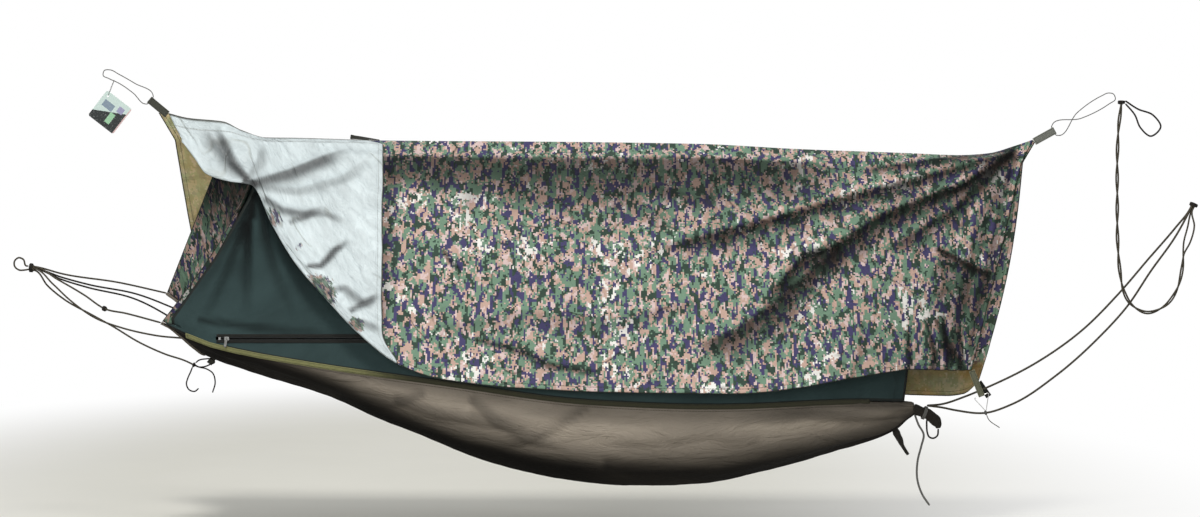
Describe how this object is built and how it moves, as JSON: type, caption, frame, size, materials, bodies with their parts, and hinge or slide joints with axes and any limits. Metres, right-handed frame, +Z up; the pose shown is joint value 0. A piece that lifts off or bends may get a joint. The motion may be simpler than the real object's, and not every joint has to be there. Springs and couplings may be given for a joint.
{
  "type": "jungle hammock",
  "caption": "Hammock bed with a zipped insect net and a hinged rain canopy, hung by cords at head and foot.",
  "frame": {"origin": "the lower left hanging point, in the middle of the head loop where it goes round its wall fitting", "axes": "+X along the hammock from head to foot, -Y towards the side with the zip, +Z up"},
  "size_m": [3.3162, 0.6495, 1.2212],
  "materials": {
    "sling": "brown-grey nylon cloth",
    "sling_hem_head": "brown-grey nylon cloth",
    "sling_binding_near": "woven edge binding, yellow-green",
    "sling_binding_far": "woven edge binding, yellow-green",
    "canopy_ridge": "coated nylon with a digital camouflage print",
    "canopy_near_flap": "coated nylon, camouflage outside, silver coat inside",
    "canopy_far_flap": "coated nylon, camouflage outside, tan inside",
    "net_near_wall": "fine insect mesh, dark green",
    "net_far_wall": "fine insect mesh, dark green",
    "net_end_head": "nylon cloth with a digital camouflage print",
    "net_end_foot": "nylon cloth with a digital camouflage print",
    "zip_tape_upper": "woven zip tape, black",
    "zip_tape_lower": "woven zip tape, black",
    "zip_row_upper": "coiled plastic teeth, black",
    "zip_row_lower": "coiled plastic teeth, black",
    "zip_stop_head": "dark coated metal",
    "zip_stop_foot": "dark coated metal",
    "zip_slider": "dark coated metal",
    "zip_pull": "dark coated metal",
    "ridge_tab_head": "doubled polyester webbing, grey-green",
    "ridge_tab_foot": "doubled polyester webbing, grey-green",
    "ridge_cord_head": "thin braided cord, grey",
    "ridge_cord_foot": "thin braided cord, grey",
    "corner_strap_near_foot": "doubled webbing, light olive",
    "corner_strap_far_foot": "doubled webbing, black",
    "corner_strap_far_head": "doubled webbing, light olive",
    "corner_strap_near_head": "doubled webbing, black",
    "corner_ring": "bent steel wire",
    "clew_cord_a": "braided cord, olive-brown",
    "clew_cord_b": "braided cord, olive-brown",
    "clew_cord_c": "braided cord, olive-brown",
    "clew_cord_d": "braided cord, olive-brown",
    "clew_cord_e": "braided cord, olive-brown",
    "clew_cord_f": "braided cord, olive-brown",
    "clew_lashing": "braided cord, olive-brown",
    "hang_loop_head": "braided cord, olive-brown",
    "bow_knot": "braided cord, olive-brown",
    "bow_loop": "braided cord, olive-brown",
    "bow_tail_hook": "braided cord, olive-brown",
    "bow_tail_knotted": "braided cord, olive-brown",
    "clew_knot": "braided cord, olive-brown",
    "gather_knot_foot": "bunched nylon cloth, in shade",
    "gather_lashing_foot": "braided cord, olive-brown",
    "gather_tail_long": "braided cord, light grey",
    "gather_tail_short": "bunched nylon cloth, in shade",
    "gather_eye": "braided cord, olive-brown",
    "suspension_cord_upper": "braided cord, olive-brown",
    "suspension_cord_lower": "braided cord, olive-brown",
    "spare_cord_a": "braided cord, olive-brown",
    "spare_cord_b": "braided cord, olive-brown",
    "anchor_lashing_lower": "braided cord, olive-brown",
    "anchor_lashing_upper": "braided cord, olive-brown",
    "anchor_loop_upper": "braided cord, olive-brown",
    "corner_knot": "braided cord, olive-brown",
    "corner_tail": "thin braided cord, grey",
    "hang_tag": "coated card, bare",
    "hang_tag_string": "thin braided cord, grey"
  },
  "bodies": {
    "hammock": {"sling": "sling", "sling_hem_head": "sling_hem_head", "sling_binding_near": "sling_binding_near", "sling_binding_far": "sling_binding_far", "canopy_ridge": "canopy_ridge", "net_near_wall": "net_near_wall", "net_far_wall": "net_far_wall", "net_end_head": "net_end_head", "net_end_foot": "net_end_foot", "zip_tape_upper": "zip_tape_upper", "zip_tape_lower": "zip_tape_lower", "zip_row_upper": "zip_row_upper", "zip_row_lower": "zip_row_lower", "zip_stop_head": "zip_stop_head", "zip_stop_foot": "zip_stop_foot", "ridge_tab_head": "ridge_tab_head", "ridge_tab_foot": "ridge_tab_foot", "ridge_cord_head": "ridge_cord_head", "ridge_cord_foot": "ridge_cord_foot", "corner_strap_near_head": "corner_strap_near_head", "clew_cord_a": "clew_cord_a", "clew_cord_b": "clew_cord_b", "clew_cord_c": "clew_cord_c", "clew_cord_d": "clew_cord_d", "clew_cord_e": "clew_cord_e", "clew_cord_f": "clew_cord_f", "clew_lashing": "clew_lashing", "hang_loop_head": "hang_loop_head", "bow_knot": "bow_knot", "bow_loop": "bow_loop", "bow_tail_hook": "bow_tail_hook", "bow_tail_knotted": "bow_tail_knotted", "clew_knot": "clew_knot", "gather_knot_foot": "gather_knot_foot", "gather_lashing_foot": "gather_lashing_foot", "gather_tail_long": "gather_tail_long", "gather_tail_short": "gather_tail_short", "gather_eye": "gather_eye", "suspension_cord_upper": "suspension_cord_upper", "suspension_cord_lower": "suspension_cord_lower", "spare_cord_a": "spare_cord_a", "spare_cord_b": "spare_cord_b", "anchor_lashing_lower": "anchor_lashing_lower", "anchor_lashing_upper": "anchor_lashing_upper", "anchor_loop_upper": "anchor_loop_upper", "corner_knot": "corner_knot", "corner_tail": "corner_tail"},
    "near_flap": {"canopy_near_flap": "canopy_near_flap", "corner_strap_near_foot": "corner_strap_near_foot"},
    "far_flap": {"canopy_far_flap": "canopy_far_flap", "corner_strap_far_foot": "corner_strap_far_foot", "corner_strap_far_head": "corner_strap_far_head"},
    "ring": {"corner_ring": "corner_ring"},
    "slider": {"zip_slider": "zip_slider"},
    "pull": {"zip_pull": "zip_pull"},
    "tag": {"hang_tag": "hang_tag", "hang_tag_string": "hang_tag_string"}
  },
  "joints": [
    {"name": "near_flap_swing", "type": "hinge", "parent": "hammock", "child": "near_flap", "pos_m": [0.457, -0.0175, 0.341], "axis": [-0.9996, 0, 0.0266], "range_deg": [0, 55]},
    {"name": "far_flap_swing", "type": "hinge", "parent": "hammock", "child": "far_flap", "pos_m": [0.457, 0.0175, 0.341], "axis": [0.9996, 0, -0.0266], "range_deg": [0, 55]},
    {"name": "corner_ring_swing", "type": "hinge", "parent": "near_flap", "child": "ring", "pos_m": [2.68459, -0.04175, -0.37106], "axis": [-0.931, 0, -0.365], "range_deg": [0, 75]},
    {"name": "zip_slide", "type": "slide", "parent": "hammock", "child": "slider", "axis": [1, 0, 0], "range_m": [0, 1.376]},
    {"name": "zip_pull_swing", "type": "hinge", "parent": "slider", "child": "pull", "pos_m": [0.618, -0.23215, -0.206], "axis": [-1, 0, 0], "range_deg": [0, 60]},
    {"name": "hang_tag_swing", "type": "hinge", "parent": "hammock", "child": "tag", "pos_m": [0.263, 0, 0.5072], "axis": [0.906, 0, -0.4233], "range_deg": [-35, 35]}
  ]
}
